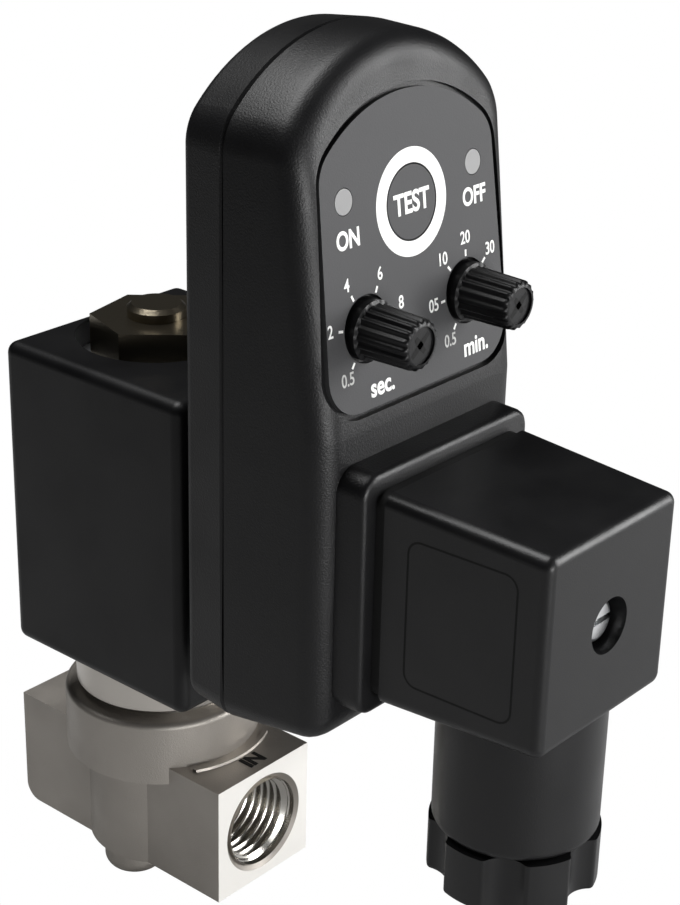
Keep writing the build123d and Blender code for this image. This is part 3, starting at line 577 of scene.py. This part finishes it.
def plug_line(side):
    """The thin groove round a side of the plug, drawn as a closed dark band of painted shade just off the tapered
    face.
    """
    width, lift = 0.28, 0.012
    out = Vector((side, -PLUG_TAPER, 0)).normalized()
    points = []
    for along, height in rounded_rectangle(7.6, 9.6, 1.8, steps=6):
        along += 11.2
        points.append(Vector((side * (PLUG_HALF_WIDTH - along * PLUG_TAPER), PLUG_BACK - along, PLUG_Z + height)))
    n = len(points)
    verts = []
    for i in range(n):
        ahead = (points[(i + 1) % n] - points[i - 1]).normalized()
        across = out.cross(ahead).normalized()
        verts += [tuple(points[i] + across * w + out * lift) for w in (-width / 2, width / 2)]
    faces = [(2 * i, 2 * i + 1, 2 * ((i + 1) % n) + 1, 2 * ((i + 1) % n)) for i in range(n)]
    mesh_piece(f"plug_line_{side}", verts, faces, "painted_recess_shade", "coil_and_timer")


plug_line(-1)
plug_line(1)

# ------------------------------------------------------------------ stage, light and camera


def white_to_camera(nt, usual, bright, target):
    """Shows the bright shader to the camera and the usual one to every other ray."""
    path = nt.nodes.new("ShaderNodeLightPath")
    mix = nt.nodes.new("ShaderNodeMixShader")
    nt.links.new(path.outputs["Is Camera Ray"], mix.inputs["Fac"])
    nt.links.new(usual, mix.inputs[1])
    nt.links.new(bright, mix.inputs[2])
    nt.links.new(mix.outputs["Shader"], target)


def add_floor():
    half, height = 2000, -13.1
    corners = [(-half, -half, height), (half, -half, height), (half, half, height), (-half, half, height)]
    floor = add_mesh("floor", corners, [(0, 1, 2, 3)])
    m = bpy.data.materials.new("floor")
    m.use_nodes = True
    nt = m.node_tree
    b = nt.nodes["Principled BSDF"]
    b.inputs["Base Color"].default_value = (0.55, 0.55, 0.55, 1)
    b.inputs["Roughness"].default_value = 0.8
    glow = nt.nodes.new("ShaderNodeEmission")
    glow.inputs["Color"].default_value = (1, 1, 1, 1)
    white_to_camera(nt, b.outputs["BSDF"], glow.outputs["Emission"],
                    nt.nodes["Material Output"].inputs["Surface"])
    floor.data.materials.append(m)


def add_world():
    world = bpy.data.worlds.new("world")
    bpy.context.scene.world = world
    world.use_nodes = True
    nt = world.node_tree
    dim = nt.nodes["Background"]
    dim.inputs["Color"].default_value = (1, 1, 1, 1)
    dim.inputs["Strength"].default_value = 0.03
    white = nt.nodes.new("ShaderNodeBackground")
    white.inputs["Color"].default_value = (1, 1, 1, 1)
    white_to_camera(nt, dim.outputs["Background"], white.outputs["Background"],
                    nt.nodes["World Output"].inputs["Surface"])


def area(name, location, target, size, power):
    """A rectangular light that faces its target, in metres and watts."""
    data = bpy.data.lights.new(name, "AREA")
    data.shape = "RECTANGLE"
    data.size, data.size_y = size
    data.energy = power
    obj = bpy.data.objects.new(name, data)
    bpy.context.scene.collection.objects.link(obj)
    obj.location = location
    away = Vector(location) - Vector(target)
    obj.rotation_euler = away.to_track_quat("Z", "Y").to_euler()
    return obj


def add_camera(location, right, back, lens):
    """A camera from its place, its right side and the direction behind it."""
    data = bpy.data.cameras.new("camera")
    camera = bpy.data.objects.new("camera", data)
    bpy.context.scene.collection.objects.link(camera)
    data.sensor_width = 36
    data.lens = lens
    data.clip_start = 0.01
    right = Vector(right).normalized()
    up = Vector(back).cross(right).normalized()
    back = right.cross(up).normalized()
    rotation = Matrix((right, up, back)).transposed().to_4x4()
    camera.matrix_world = Matrix.Translation(location) @ rotation
    return camera


add_floor()
add_world()
centre = (0, -0.01, 0.055)
area("top_light", (-0.05, 0.15, 0.6), centre, (0.35, 0.3), 3.2)
area("right_light", (0.45, -0.45, 0.22), centre, (0.2, 0.4), 4.2)
area("low_light", (-0.10, -0.5, 0.03), (0, 0.0, 0.0), (0.16, 0.10), 1.4)
area("front_light", (0.0, -0.7, 0.12), centre, (0.3, 0.25), 0.5)

scene = bpy.context.scene
scene.camera = add_camera(
    location=(-0.1796, -0.1662, 0.1654),
    right=(0.6548, -0.7555, 0.0219),
    back=(-0.6972, -0.5926, 0.4035),
    lens=80.83,
)
scene.render.resolution_x = 680
scene.render.resolution_y = 905
scene.render.resolution_percentage = 100
scene.render.engine = "CYCLES"
scene.cycles.samples = 128
scene.view_settings.view_transform = "Standard"
